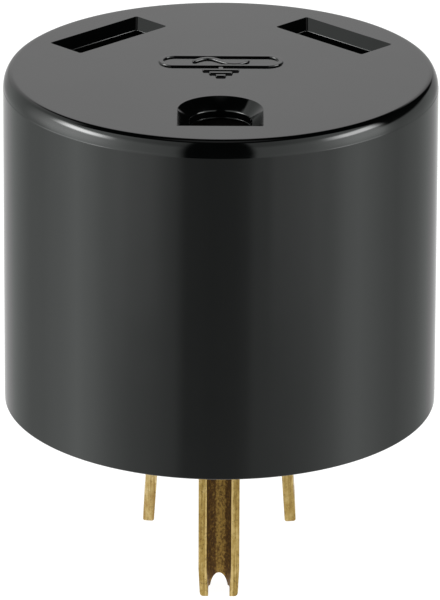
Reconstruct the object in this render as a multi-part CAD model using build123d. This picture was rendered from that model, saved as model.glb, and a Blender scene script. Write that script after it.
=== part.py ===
from build123d import *
import math
import os

# Round trailer power adapter: a 30 A receptacle face on a 15 A three-prong plug.
# Millimetres. The origin is the centre of the plug-side face, +Z points to the receptacle
# face, and the ground side is towards -Y. Hot is on +X; neutral is its mirror on -X.

# Housing: a round cup that opens on the plug side
HEIGHT = 34.8
FACE_RADIUS = 21.5
FOOT_RADIUS = 21.77
RIM_SHARP_RADIUS = 0.7
RIM_SOFT_RADIUS = 2.3
RIM_CHANGE = 35.0
FOOT_FILLET = 0.12
CAVITY_RADIUS = 19.6
FACE_THICKNESS = 2.0
FACE_INSIDE = HEIGHT - FACE_THICKNESS

# Openings in the receptacle face, each with a 45 degree lead-in chamfer
BLADE_SLOT_X = 11.33
BLADE_SLOT_Y = 10.25
BLADE_SLOT_TURN = -45.0
BLADE_SLOT_LENGTH = 10.0
BLADE_SLOT_WIDTH = 2.45
BLADE_SLOT_CHAMFER = 1.0
GROUND_HOLE_Y = -12.3
GROUND_HOLE_RADIUS = 3.03
GROUND_HOLE_FLAT = 3.38
GROUND_HOLE_CHAMFER = 1.14

# Raised mark in the middle of the face: an alternating-current sign in a plain frame, over
# an earth sign
MARK_HEIGHT = 0.16
MARK_ROOT = 0.3
MARK_LINE = 0.5
FRAME_Y = 2.0
FRAME_LENGTH = 12.4
FRAME_WIDTH = 3.4
WAVE_HALF_LENGTH = 2.6
WAVE_RISE = 0.8
EARTH_Y = -0.75
EARTH_STEM = 0.75
EARTH_PITCH = 0.85
EARTH_BARS = (3.6, 2.3, 1.0)

# Blades and U-shaped ground pin of the plug
BLADE_ROOT_X = 6.25
BLADE_Y = 7.5
BLADE_WIDTH = 6.35
BLADE_THICKNESS = 1.15
BLADE_TIP_Z = -16.3
BLADE_LEAN = 0.0675
BLADE_BEND = 0.1
BLADE_TIP_FILLET = 0.35
PIN_Y = -4.4
PIN_RADIUS = 2.075
PIN_WALL = 0.85
PIN_RIM_Y = -6.5
PIN_TIP_Z = -19.72
PIN_ARM_TOP = 5.6
PIN_NOTCH_HALF_WIDTH = 0.95
PIN_NOTCH_RISE = 1.15
PIN_NOTCH_SINK = 0.55
PIN_TAPER_LENGTH = 3.0
PIN_TAPER = 0.15
PIN_TIP_CORNER = 0.35
PIN_TIP_FLARE = 1.0
PIN_TAB_HALF_WIDTH = 2.0

# Plug base, which closes the housing
BASE_THICKNESS = 3.6
BASE_GAP = 0.1
BASE_EDGE = 0.3
PRONG_GAP = 0.2
RIB_TOP = 10.4
RIB_THICKNESS = 1.0
CROSS_RIB_Y = 3.2
CROSS_RIB_LENGTH = 28.0
LONG_RIB_END_Y = 12.4
POST_X = 8.0
POST_Y = -11.0
POST_RADIUS = 1.5
BLADE_PEDESTAL_HALF_WIDTH = 3.4
BLADE_PEDESTAL_OVERHANG = 2.0
PIN_PEDESTAL_HALF_WIDTH = 3.2
PIN_PEDESTAL_OVERHANG = 0.9

# Straps, contact feet and rivets
STRAP_BOTTOM = 7.5
STRAP_THICKNESS = 1.0
STRAP_TOP = STRAP_BOTTOM + STRAP_THICKNESS
STRAP_WIDTH = 4.6
CONTACT_THICKNESS = 0.8
FOOT_TOP = STRAP_TOP + CONTACT_THICKNESS
FOOT_WIDTH = 5.0
FOOT_MARGIN = 2.3
RIVET_RADIUS = 1.0
RIVET_GAP = 0.05
RIVET_HEAD_RADIUS = 1.8
RIVET_HEAD_HEIGHT = 0.85
RIVET_DOME = 0.6
POCKET_GAP = 0.25
BLADE_RIVET_X = 3.2
PIN_RIVET_Y = -0.2
FLANGE_MARGIN = 2.0

# Insulating disc and contact carrier
DISC_THICKNESS = 0.6
DISC_RADIUS = 19.3
CARRIER_BOTTOM = RIB_TOP + DISC_THICKNESS
CARRIER_RADIUS = 19.4
WEB_THICKNESS = 3.0
CHIMNEY_WALL = 1.4
PATH_GAP = 0.65
JAW_GAP = 0.05
LEAF_ROOM = 3.7

# Contacts: a fixed jaw and a sprung leaf grip the mating blade or pin between them
BLADE_GRIP = 0.9
PIN_GRIP = 2.72
BLADE_PATH_HALF_LENGTH = 5.1
PIN_PATH_HALF_LENGTH = 4.0
BLADE_JAW_WIDTH = 8.4
PIN_JAW_WIDTH = 7.2
JAW_BEND = 0.6
FLARE_Z = 27.0
JAW_TOP = 29.3
FLARE = 0.9
FLARE_ROOM = 1.0
WING_BOTTOM = 14.5
WING_REACH = 3.6
BLADE_FOOT_RIVET = -3.0
PIN_FOOT_RIVET = -2.7
BLADE_LEAF_WIDTH = 7.0
PIN_LEAF_WIDTH = 4.4
LEAF_SIDE_GAP = 0.3
LEAF_THICKNESS = 0.5
LEAF_BEND = 1.5
LEAF_STRAIGHT = 3.2
LEAF_SET = 0.1
LEAF_TIP_SPLAY = 1.1
LEAF_SQUEEZE = 0.55
BACKING_THICKNESS = 0.4
BACKING_BOTTOM = 14.6
BACKING_TOP = 24.4
BACKING_TRIM = 1.2
PIVOT_REACH = 2.4
PIVOT_Z = 13.4
BEAD_RADIUS = 0.9
BEAD_GAP = 0.05
GROOVE_TOP = 14.3
CROWN_Z = 25.6
LEAF_TIP_Z = 29.0

# Screws that hold the plug base to bosses in the housing
SCREW_CIRCLE = 15.8
SCREW_ANGLES = (90.0, 207.0, 333.0)
SCREW_HEAD_RADIUS = 2.6
SCREW_HEAD_HEIGHT = 1.5
SCREW_HEAD_DOME = 0.75
SCREW_SEAT = 2.0
SCREW_RADIUS = 1.45
SCREW_TIP = 13.5
SCREW_POINT = 0.87
SCREW_TIP_ROOM = 1.0
SCREW_GAP = 0.25
THREAD_GAP = 0.05
RECESS_LENGTH = 3.0
RECESS_WIDTH = 0.7
RECESS_DEPTH = 0.9
BOSS_RADIUS = 2.8
BOSS_RIB = 2.0
BOSS_GAP = 0.3

# How far a cutter runs past the surface it opens, and a rib runs into the wall it joins
OVERLAP = 1.0

UP = (Align.CENTER, Align.CENTER, Align.MIN)
BLADE_SEAT = Location((BLADE_SLOT_X, BLADE_SLOT_Y, 0), (0, 0, BLADE_SLOT_TURN))
PIN_SEAT = Location((0, GROUND_HOLE_Y, 0), (0, 0, 180))


# Shared shapes. In a seat's own frame x runs along the slot, y points away from the body's
# axis, and z is up; "reach" is a distance along that y.

def block(x_range, y_range, z_range):
    """Box between two values on each axis."""
    size = [high - low for low, high in (x_range, y_range, z_range)]
    middle = [(high + low) / 2 for low, high in (x_range, y_range, z_range)]
    return Pos(*middle) * Box(*size)


def cylinder(x, y, radius, bottom, top):
    """Upright cylinder."""
    return Pos(x, y, bottom) * Cylinder(radius, top - bottom, align=UP)


def sheet(outline, thickness, side, bend):
    """Flat-ended section of bent sheet metal: its outline runs along one of its surfaces."""
    line = FilletPolyline(*outline, radius=bend)
    return make_face(offset(line, amount=thickness, side=side, closed=True))


def screw_places():
    """Centres of the screws around the axis."""
    for angle in SCREW_ANGLES:
        turn = math.radians(angle)
        yield angle, SCREW_CIRCLE * math.cos(turn), SCREW_CIRCLE * math.sin(turn)


def boss_room(bottom, top):
    """Space that the housing's bosses and their ribs take out of what lies between them."""
    room = Part()
    half = BOSS_RIB / 2 + BOSS_GAP
    rib = block((0, CAVITY_RADIUS - SCREW_CIRCLE), (-half, half), (bottom, top))
    for angle, x, y in screw_places():
        room += cylinder(x, y, BOSS_RADIUS + BOSS_GAP, bottom, top)
        room += Pos(x, y, 0) * Rot(0, 0, angle) * rib
    return room


def mirrored(shape):
    """The neutral side's copy of a hot-side piece."""
    return mirror(shape, about=Plane.YZ)


# Housing

def blade_slot_outline(margin):
    return Rectangle(BLADE_SLOT_LENGTH + 2 * margin, BLADE_SLOT_WIDTH + 2 * margin)


def ground_hole_outline(margin):
    """D-shaped hole: round towards the axis, flat on the outer side."""
    radius = GROUND_HOLE_RADIUS + margin
    flat = GROUND_HOLE_FLAT + margin
    edges = [
        ThreePointArc((radius, 0), (0, -radius), (-radius, 0)),
        Line((-radius, 0), (-radius, flat)),
        Line((-radius, flat), (radius, flat)),
        Line((radius, flat), (radius, 0)),
    ]
    return make_face(edges)


def face_opening(outline, chamfer):
    """Cutter for one opening: straight through the face, with a chamfered mouth."""
    throat = Pos(0, 0, FACE_INSIDE) * outline(0)
    wide = Pos(0, 0, HEIGHT) * outline(chamfer)
    narrow = Pos(0, 0, HEIGHT - chamfer) * outline(0)
    mouth = loft([narrow.face(), wide.face()], ruled=True)
    return extrude(throat, FACE_THICKNESS) + mouth


def wave_sign():
    """One period of a sine-like wave, as two arcs that meet in the middle."""
    half = WAVE_HALF_LENGTH
    left = ThreePointArc((-half, 0), (-half / 2, WAVE_RISE), (0, 0))
    right = ThreePointArc((0, 0), (half / 2, -WAVE_RISE), (half, 0))
    strokes = [make_face(offset(arc, amount=MARK_LINE / 2, side=Side.BOTH)) for arc in (left, right)]
    return strokes[0] + strokes[1]


def earth_sign():
    """A stem over three bars that get shorter."""
    sign = Pos(0, EARTH_STEM / 2) * Rectangle(MARK_LINE, EARTH_STEM)
    for row, length in enumerate(EARTH_BARS):
        sign += Pos(0, -row * EARTH_PITCH) * Rectangle(length, MARK_LINE)
    return sign


def raised_mark():
    frame = SlotOverall(FRAME_LENGTH, FRAME_WIDTH)
    frame -= SlotOverall(FRAME_LENGTH - 2 * MARK_LINE, FRAME_WIDTH - 2 * MARK_LINE)
    signs = Pos(0, FRAME_Y) * (frame + wave_sign()) + Pos(0, EARTH_Y) * earth_sign()
    return Pos(0, 0, HEIGHT - MARK_ROOT) * extrude(signs, MARK_ROOT + MARK_HEIGHT)


def outside_outline():
    """Half section of the solid body; its rim is a wide arc up from the wall, then a tight one."""
    turn = math.radians(RIM_CHANGE)
    radius_step = RIM_SOFT_RADIUS - RIM_SHARP_RADIUS
    rise = radius_step * math.sin(turn) + RIM_SHARP_RADIUS
    wall_radius = FACE_RADIUS + (FOOT_RADIUS - FACE_RADIUS) * rise / HEIGHT
    soft = (wall_radius - RIM_SOFT_RADIUS, HEIGHT - rise)
    sharp = (soft[0] + radius_step * math.cos(turn), HEIGHT - RIM_SHARP_RADIUS)
    edges = [
        Line((0, 0), (FOOT_RADIUS, 0)),
        Line((FOOT_RADIUS, 0), (wall_radius, HEIGHT - rise)),
        CenterArc(soft, RIM_SOFT_RADIUS, 0, RIM_CHANGE),
        CenterArc(sharp, RIM_SHARP_RADIUS, RIM_CHANGE, 90 - RIM_CHANGE),
        Line((sharp[0], HEIGHT), (0, HEIGHT)),
        Line((0, HEIGHT), (0, 0)),
    ]
    return make_face(edges)


def housing():
    shell = revolve(Plane.XZ * outside_outline(), Axis.Z)
    shell = fillet(shell.edges().filter_by(GeomType.CIRCLE).sort_by(Axis.Z)[0], FOOT_FILLET)
    shell -= Cylinder(CAVITY_RADIUS, FACE_INSIDE, align=UP)
    rib = block((0, CAVITY_RADIUS - SCREW_CIRCLE + OVERLAP), (-BOSS_RIB / 2, BOSS_RIB / 2),
                (BASE_THICKNESS, FACE_INSIDE))
    for angle, x, y in screw_places():
        shell += cylinder(x, y, BOSS_RADIUS, BASE_THICKNESS, FACE_INSIDE)
        shell += Pos(x, y, 0) * Rot(0, 0, angle) * rib
        shell -= cylinder(x, y, SCREW_RADIUS + THREAD_GAP, BASE_THICKNESS, SCREW_TIP + SCREW_TIP_ROOM)
    blade_opening = BLADE_SEAT * face_opening(blade_slot_outline, BLADE_SLOT_CHAMFER)
    shell -= blade_opening
    shell -= mirrored(blade_opening)
    shell -= PIN_SEAT * face_opening(ground_hole_outline, GROUND_HOLE_CHAMFER)
    return shell + raised_mark()


# Plug blades and ground pin

def blade_x(z, from_middle):
    """X of a point in a blade, which leans outwards towards its tip."""
    return BLADE_ROOT_X - BLADE_LEAN * z + from_middle


def blade():
    """Flat blade whose top is bent in to a flange for the rivet."""
    outer = BLADE_THICKNESS / 2
    outline = [
        (blade_x(BLADE_TIP_Z, outer), BLADE_TIP_Z),
        (blade_x(STRAP_BOTTOM, outer), STRAP_BOTTOM),
        (BLADE_RIVET_X - FLANGE_MARGIN, STRAP_BOTTOM),
    ]
    section = sheet(outline, BLADE_THICKNESS, Side.LEFT, BLADE_THICKNESS + BLADE_BEND)
    piece = Pos(0, BLADE_Y, 0) * extrude(Plane.XZ * section, BLADE_WIDTH / 2, both=True)
    tip = piece.faces().sort_by(Axis.Z)[0]
    piece = fillet(tip.edges(), BLADE_TIP_FILLET)
    return piece - cylinder(BLADE_RIVET_X, BLADE_Y, RIVET_RADIUS + RIVET_GAP, 0, STRAP_TOP)


def pin_outline(gap, draw_in=0):
    """U section of the pin, open towards -Y, grown all round by a gap, its arms drawn in."""
    outer = PIN_RADIUS + gap - draw_in
    inner = PIN_RADIUS - PIN_WALL - gap - draw_in
    rim = PIN_RIM_Y - gap
    edges = [
        ThreePointArc((outer, PIN_Y), (0, PIN_Y + outer), (-outer, PIN_Y)),
        Line((-outer, PIN_Y), (-outer, rim)),
        Line((-outer, rim), (-inner, rim)),
        Line((-inner, rim), (-inner, PIN_Y)),
        ThreePointArc((-inner, PIN_Y), (0, PIN_Y + inner), (inner, PIN_Y)),
        Line((inner, PIN_Y), (inner, rim)),
        Line((inner, rim), (outer, rim)),
        Line((outer, rim), (outer, PIN_Y)),
    ]
    return make_face(edges)


def pin_front():
    """Front outline that trims the pin: round outer corners, and an arch between its two prongs."""
    outer = PIN_RADIUS - PIN_TAPER
    wide = outer + PIN_TIP_FLARE
    corner = PIN_TIP_CORNER
    bulge = corner * (1 - math.sqrt(0.5))
    corner_top = (outer, PIN_TIP_Z + corner)
    corner_end = (outer - corner, PIN_TIP_Z)
    shoulder = (wide, PIN_TIP_Z + PIN_TAPER_LENGTH)
    edges = [
        Line(shoulder, corner_top),
        ThreePointArc(corner_top, (outer - bulge, PIN_TIP_Z + bulge), corner_end),
        Line(corner_end, (0, PIN_TIP_Z)),
        Line((0, PIN_TIP_Z), (0, STRAP_BOTTOM)),
        Line((0, STRAP_BOTTOM), (wide, STRAP_BOTTOM)),
        Line((wide, STRAP_BOTTOM), shoulder),
    ]
    half = make_face(edges)
    arch = Ellipse(PIN_NOTCH_HALF_WIDTH, PIN_NOTCH_RISE + PIN_NOTCH_SINK)
    return half + mirror(half, about=Plane.YZ) - Pos(0, PIN_TIP_Z - PIN_NOTCH_SINK) * arch


def ground_pin():
    """Folded U channel, drawn in to two prongs at its tip, with a tab at its top for the rivet."""
    taper_top = PIN_TIP_Z + PIN_TAPER_LENGTH
    tip_sections = [Pos(0, 0, PIN_TIP_Z) * pin_outline(0, PIN_TAPER), Pos(0, 0, taper_top) * pin_outline(0)]
    channel = Pos(0, 0, taper_top) * extrude(pin_outline(0), STRAP_BOTTOM - taper_top)
    channel += loft(tip_sections, ruled=True)
    channel &= extrude(Plane.XZ * pin_front(), HEIGHT, both=True)
    channel -= block((-PIN_RADIUS, PIN_RADIUS), (PIN_RIM_Y, PIN_Y), (PIN_ARM_TOP, STRAP_BOTTOM))
    tab = block((-PIN_TAB_HALF_WIDTH, PIN_TAB_HALF_WIDTH),
                (PIN_Y + PIN_RADIUS - PIN_WALL, PIN_RIVET_Y + FLANGE_MARGIN),
                (STRAP_BOTTOM - PIN_WALL, STRAP_BOTTOM))
    hole = cylinder(0, PIN_RIVET_Y, RIVET_RADIUS + RIVET_GAP, 0, STRAP_TOP)
    return channel + tab - hole


# Plug base

def base_pedestals():
    """Seats for the blades' flanges and the ground pin's tab."""
    blade_seat = block((RIB_THICKNESS, BLADE_ROOT_X + BLADE_PEDESTAL_OVERHANG),
                       (BLADE_Y - BLADE_PEDESTAL_HALF_WIDTH, BLADE_Y + BLADE_PEDESTAL_HALF_WIDTH),
                       (BASE_THICKNESS, STRAP_BOTTOM - BLADE_THICKNESS))
    pin_seat = block((-PIN_PEDESTAL_HALF_WIDTH, PIN_PEDESTAL_HALF_WIDTH),
                     (PIN_RIM_Y - PIN_PEDESTAL_OVERHANG, CROSS_RIB_Y),
                     (BASE_THICKNESS, STRAP_BOTTOM - PIN_WALL))
    return blade_seat + mirrored(blade_seat) + pin_seat


def base_ribs():
    """Barrier ribs between the three lines, and two posts; the insulating disc lies on them."""
    half = RIB_THICKNESS / 2
    height = (0, RIB_TOP)
    cross = block((-CROSS_RIB_LENGTH / 2, CROSS_RIB_LENGTH / 2),
                  (CROSS_RIB_Y - half, CROSS_RIB_Y + half), height)
    long_rib = block((-half, half), (CROSS_RIB_Y, LONG_RIB_END_Y), height)
    posts = [cylinder(x, POST_Y, POST_RADIUS, 0, RIB_TOP) for x in (-POST_X, POST_X)]
    return cross + long_rib + posts


def rivet_pocket(x, y, seat_top):
    """Room for a rivet's lower head in its pedestal."""
    depth = RIVET_HEAD_HEIGHT + POCKET_GAP
    return cylinder(x, y, RIVET_HEAD_RADIUS + POCKET_GAP, seat_top - depth, seat_top)


def blade_passage():
    """Cutter for the sloping hole that a blade passes through."""
    half = BLADE_THICKNESS / 2 + PRONG_GAP
    ends = ((0, -1), (0, 1), (STRAP_TOP, 1), (STRAP_TOP, -1))
    corners = [(blade_x(z, side * half), z) for z, side in ends]
    section = make_face(Polyline(*corners, close=True))
    return Pos(0, BLADE_Y, 0) * extrude(Plane.XZ * section, BLADE_WIDTH / 2 + PRONG_GAP, both=True)


def plug_base():
    plate = Cylinder(CAVITY_RADIUS - BASE_GAP, BASE_THICKNESS, align=UP)
    plate = chamfer(plate.edges().filter_by(GeomType.CIRCLE).sort_by(Axis.Z)[0], BASE_EDGE)
    plate += base_pedestals()
    plate += base_ribs()
    blade_pocket = rivet_pocket(BLADE_RIVET_X, BLADE_Y, STRAP_BOTTOM - BLADE_THICKNESS)
    for cutter in (blade_passage(), blade_pocket):
        plate -= cutter
        plate -= mirrored(cutter)
    plate -= extrude(pin_outline(PRONG_GAP), STRAP_BOTTOM)
    plate -= rivet_pocket(0, PIN_RIVET_Y, STRAP_BOTTOM - PIN_WALL)
    for _, x, y in screw_places():
        plate -= cylinder(x, y, SCREW_HEAD_RADIUS + SCREW_GAP, 0, SCREW_SEAT)
        plate -= cylinder(x, y, SCREW_RADIUS + SCREW_GAP, 0, BASE_THICKNESS)
    return plate


# Insulating disc and contact carrier

def chimney_sizes(grip, path_half_length, leaf_width):
    """Ranges of one contact chamber: path of the mating prong, and room for the leaf."""
    leaf_half = leaf_width / 2 + LEAF_SIDE_GAP
    path = ((-path_half_length, path_half_length),
            (-grip - PATH_GAP, grip + CONTACT_THICKNESS + JAW_GAP))
    leaf_room = ((-leaf_half, leaf_half), (-grip - LEAF_ROOM, -grip - PATH_GAP))
    return path, leaf_room


def chimney_outside(grip, path_half_length, leaf_width):
    path, leaf_room = chimney_sizes(grip, path_half_length, leaf_width)
    x_range = (path[0][0] - CHIMNEY_WALL, path[0][1] + CHIMNEY_WALL)
    y_range = (leaf_room[1][0] - CHIMNEY_WALL, path[1][1] + CHIMNEY_WALL)
    return block(x_range, y_range, (CARRIER_BOTTOM, FACE_INSIDE))


def chimney_inside(grip, path_half_length, leaf_width, jaw_width):
    """Cutter for one contact chamber, with the groove that the leaf's bead turns in."""
    path, leaf_room = chimney_sizes(grip, path_half_length, leaf_width)
    pivot = -grip - PIVOT_REACH
    groove = BEAD_RADIUS + BEAD_GAP
    groove_length = leaf_room[0][1] - leaf_room[0][0]
    bead_seat = Pos(0, pivot, PIVOT_Z) * Rot(0, 90, 0) * Cylinder(groove, groove_length)
    inside = block(*path, (CARRIER_BOTTOM, FACE_INSIDE))
    inside += block(*leaf_room, (GROOVE_TOP, FACE_INSIDE - WEB_THICKNESS / 2))
    inside += block(leaf_room[0], (pivot - groove, pivot + groove), (PIVOT_Z, GROOVE_TOP))
    inside += bead_seat
    flare_half = jaw_width / 2 + LEAF_SIDE_GAP
    flare_room = (path[1][1], path[1][1] + FLARE + JAW_GAP)
    return inside + block((-flare_half, flare_half), flare_room, (FLARE_Z - FLARE_ROOM, FACE_INSIDE))


def contact_carrier():
    """Moulded insulator: three chimneys that hang from a round web under the face."""
    blade_sizes = (BLADE_GRIP, BLADE_PATH_HALF_LENGTH, BLADE_LEAF_WIDTH)
    pin_sizes = (PIN_GRIP, PIN_PATH_HALF_LENGTH, PIN_LEAF_WIDTH)
    outside = BLADE_SEAT * chimney_outside(*blade_sizes)
    inside = BLADE_SEAT * chimney_inside(*blade_sizes, BLADE_JAW_WIDTH)
    carrier = cylinder(0, 0, CARRIER_RADIUS, FACE_INSIDE - WEB_THICKNESS, FACE_INSIDE)
    carrier += outside
    carrier += mirrored(outside)
    carrier += PIN_SEAT * chimney_outside(*pin_sizes)
    carrier &= cylinder(0, 0, CARRIER_RADIUS, CARRIER_BOTTOM, FACE_INSIDE)
    carrier -= inside
    carrier -= mirrored(inside)
    carrier -= PIN_SEAT * chimney_inside(*pin_sizes, PIN_JAW_WIDTH)
    return carrier - boss_room(CARRIER_BOTTOM, FACE_INSIDE)


def jaw_opening(grip, jaw_width):
    """Cutter that lets a contact's jaw up through the disc."""
    half = jaw_width / 2 + LEAF_SIDE_GAP
    reach = (grip - LEAF_SIDE_GAP - JAW_BEND, grip + CONTACT_THICKNESS + LEAF_SIDE_GAP)
    return block((-half, half), reach, (RIB_TOP, CARRIER_BOTTOM))


def insulating_disc():
    disc = cylinder(0, 0, DISC_RADIUS, RIB_TOP, CARRIER_BOTTOM)
    opening = BLADE_SEAT * jaw_opening(BLADE_GRIP, BLADE_JAW_WIDTH)
    disc -= opening
    disc -= mirrored(opening)
    disc -= PIN_SEAT * jaw_opening(PIN_GRIP, PIN_JAW_WIDTH)
    return disc - boss_room(RIB_TOP, CARRIER_BOTTOM)


# Contacts and their sprung leaves

def contact(grip, jaw_width, foot_rivet):
    """Foot that is riveted to a strap, and a jaw that stands beside the mating prong."""
    foot_end = foot_rivet - FOOT_MARGIN
    outline = [(foot_end, FOOT_TOP), (grip, FOOT_TOP), (grip, FLARE_Z), (grip + FLARE, JAW_TOP)]
    section = sheet(outline, CONTACT_THICKNESS, Side.RIGHT, JAW_BEND)
    piece = extrude(Plane.YZ * section, jaw_width / 2, both=True)
    shoulder = grip - JAW_BEND
    for side in (-1, 1):
        beside = sorted((side * FOOT_WIDTH / 2, side * jaw_width))
        piece -= block(beside, (foot_end - OVERLAP, shoulder), (STRAP_BOTTOM, FOOT_TOP + OVERLAP))
    return piece - cylinder(0, foot_rivet, RIVET_RADIUS + RIVET_GAP, STRAP_BOTTOM, FOOT_TOP + OVERLAP)


def blade_contact():
    return BLADE_SEAT * contact(BLADE_GRIP, BLADE_JAW_WIDTH, BLADE_FOOT_RIVET)


def ground_contact():
    """The pin's contact also has two wings, which keep the round pin in line."""
    piece = contact(PIN_GRIP, PIN_JAW_WIDTH, PIN_FOOT_RIVET)
    outer = PIN_JAW_WIDTH / 2
    for side in (-1, 1):
        across = sorted((side * outer, side * (outer - CONTACT_THICKNESS)))
        depth = (PIN_GRIP - WING_REACH, PIN_GRIP + CONTACT_THICKNESS)
        piece += block(across, depth, (WING_BOTTOM, FLARE_Z))
    return PIN_SEAT * piece


def leaf_line(grip):
    """Centre line of a leaf: up from its bead, in to its crown, and out again at its tip."""
    pivot = -grip - PIVOT_REACH
    crown = -grip + LEAF_SQUEEZE - LEAF_THICKNESS / 2
    return FilletPolyline((pivot, PIVOT_Z), (pivot + LEAF_SET, PIVOT_Z + LEAF_STRAIGHT),
                          (crown, CROWN_Z), (crown - LEAF_TIP_SPLAY, LEAF_TIP_Z), radius=LEAF_BEND)


def leaf(grip, width):
    """Sprung leaf with a rolled bead at its lower end."""
    section = make_face(offset(leaf_line(grip), amount=LEAF_THICKNESS / 2, side=Side.BOTH))
    strip = extrude(Plane.YZ * section, width / 2, both=True)
    bead = Pos(0, -grip - PIVOT_REACH, PIVOT_Z) * Rot(0, 90, 0) * Cylinder(BEAD_RADIUS, width)
    return strip + bead


def backing(grip, width):
    """Steel strip that lies on the leaf's back and stiffens it."""
    line = leaf_line(grip)
    reach = LEAF_THICKNESS / 2 + BACKING_THICKNESS
    section = make_face(offset(line, amount=reach, side=Side.LEFT, closed=True))
    section -= make_face(offset(line, amount=LEAF_THICKNESS / 2, side=Side.BOTH))
    strip = extrude(Plane.YZ * section, width / 2 - BACKING_TRIM, both=True)
    return strip & block((-width, width), (-HEIGHT, HEIGHT), (BACKING_BOTTOM, BACKING_TOP))


def blade_leaf():
    return BLADE_SEAT * leaf(BLADE_GRIP, BLADE_LEAF_WIDTH)


def blade_backing():
    return BLADE_SEAT * backing(BLADE_GRIP, BLADE_LEAF_WIDTH)


def ground_leaf():
    return PIN_SEAT * leaf(PIN_GRIP, PIN_LEAF_WIDTH)


def ground_backing():
    return PIN_SEAT * backing(PIN_GRIP, PIN_LEAF_WIDTH)


# Straps and fasteners

def foot_rivet_place(seat, reach):
    """Where a contact's foot is riveted, as x and y."""
    place = (seat * Pos(0, reach, 0)).position
    return place.X, place.Y


def strap(start, end):
    """Flat strip with round ends between two rivet holes."""
    length = math.dist(start, end)
    turn = math.degrees(math.atan2(end[1] - start[1], end[0] - start[0]))
    plan = Pos(*start, STRAP_BOTTOM) * Rot(0, 0, turn) * Pos(length / 2, 0)
    piece = plan * extrude(SlotCenterToCenter(length, STRAP_WIDTH), STRAP_THICKNESS)
    for x, y in (start, end):
        piece -= cylinder(x, y, RIVET_RADIUS + RIVET_GAP, STRAP_BOTTOM - OVERLAP, STRAP_TOP + OVERLAP)
    return piece


def blade_strap():
    return strap((BLADE_RIVET_X, BLADE_Y), foot_rivet_place(BLADE_SEAT, BLADE_FOOT_RIVET))


def ground_strap():
    return strap((0, PIN_RIVET_Y), foot_rivet_place(PIN_SEAT, PIN_FOOT_RIVET))


def rivet(place, bottom, top):
    """Shank through the stack between bottom and top, with a domed head at each end."""
    piece = cylinder(*place, RIVET_RADIUS, bottom, top)
    for low, outer_edge in ((bottom - RIVET_HEAD_HEIGHT, 0), (top, -1)):
        head = cylinder(*place, RIVET_HEAD_RADIUS, low, low + RIVET_HEAD_HEIGHT)
        rims = head.edges().filter_by(GeomType.CIRCLE).sort_by(Axis.Z)
        piece += fillet(rims[outer_edge], RIVET_DOME)
    return piece


def prong_rivets():
    """Rivets that join the two blades and the ground pin to their straps."""
    hot = rivet((BLADE_RIVET_X, BLADE_Y), STRAP_BOTTOM - BLADE_THICKNESS, STRAP_TOP)
    ground = rivet((0, PIN_RIVET_Y), STRAP_BOTTOM - PIN_WALL, STRAP_TOP)
    return Compound([hot, mirrored(hot), ground])


def contact_rivets():
    """Rivets that join the three contacts' feet to their straps."""
    hot = rivet(foot_rivet_place(BLADE_SEAT, BLADE_FOOT_RIVET), STRAP_BOTTOM, FOOT_TOP)
    ground = rivet(foot_rivet_place(PIN_SEAT, PIN_FOOT_RIVET), STRAP_BOTTOM, FOOT_TOP)
    return Compound([hot, mirrored(hot), ground])


def screw():
    """Pan-head screw with a cross recess, its head down and its tip up."""
    head = Cylinder(SCREW_HEAD_RADIUS, SCREW_HEAD_HEIGHT, align=UP)
    head = fillet(head.edges().filter_by(GeomType.CIRCLE).sort_by(Axis.Z)[0], SCREW_HEAD_DOME)
    for size in ((RECESS_LENGTH, RECESS_WIDTH), (RECESS_WIDTH, RECESS_LENGTH)):
        head -= Box(*size, RECESS_DEPTH, align=UP)
    piece = Pos(0, 0, SCREW_SEAT - SCREW_HEAD_HEIGHT) * head
    shank = cylinder(0, 0, SCREW_RADIUS, SCREW_SEAT, SCREW_TIP)
    shank = chamfer(shank.edges().filter_by(GeomType.CIRCLE).sort_by(Axis.Z)[-1], SCREW_POINT)
    return piece + shank


def base_screws():
    return Compound([Pos(x, y, 0) * screw() for _, x, y in screw_places()])


def pieces():
    """Every node's name and shape; the neutral side mirrors the hot side."""
    mirrored_pairs = {"blade": blade, "contact": blade_contact, "contact_leaf": blade_leaf,
                      "backing_spring": blade_backing, "strap": blade_strap}
    for name, make in mirrored_pairs.items():
        yield f"hot_{name}", make()
        yield f"neutral_{name}", mirrored(make())
    single = [housing, plug_base, contact_carrier, insulating_disc, ground_pin, ground_contact,
              ground_strap, prong_rivets, contact_rivets, base_screws]
    for make in single:
        yield make.__name__, make()
    yield "ground_contact_leaf", ground_leaf()
    yield "ground_backing_spring", ground_backing()


os.makedirs("parts", exist_ok=True)
for name, shape in pieces():
    export_step(shape, f"parts/{name}.step")
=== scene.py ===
import math

import bmesh
import bpy
from mathutils import Matrix, Vector
from mathutils.geometry import delaunay_2d_cdt


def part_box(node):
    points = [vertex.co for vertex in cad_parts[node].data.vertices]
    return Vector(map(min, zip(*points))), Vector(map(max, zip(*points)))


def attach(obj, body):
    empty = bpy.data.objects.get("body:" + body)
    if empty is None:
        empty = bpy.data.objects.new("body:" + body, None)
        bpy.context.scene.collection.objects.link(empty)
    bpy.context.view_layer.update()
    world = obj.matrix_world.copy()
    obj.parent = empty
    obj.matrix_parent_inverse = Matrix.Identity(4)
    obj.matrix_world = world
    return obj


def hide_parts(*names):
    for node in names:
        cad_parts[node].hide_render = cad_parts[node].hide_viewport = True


# Looks of the round trailer power adapter. Sizes are millimetres in the CAD model's frame:
# +Z is the receptacle face, and -Y is the ground side, towards the camera.
MM = 0.001

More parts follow.
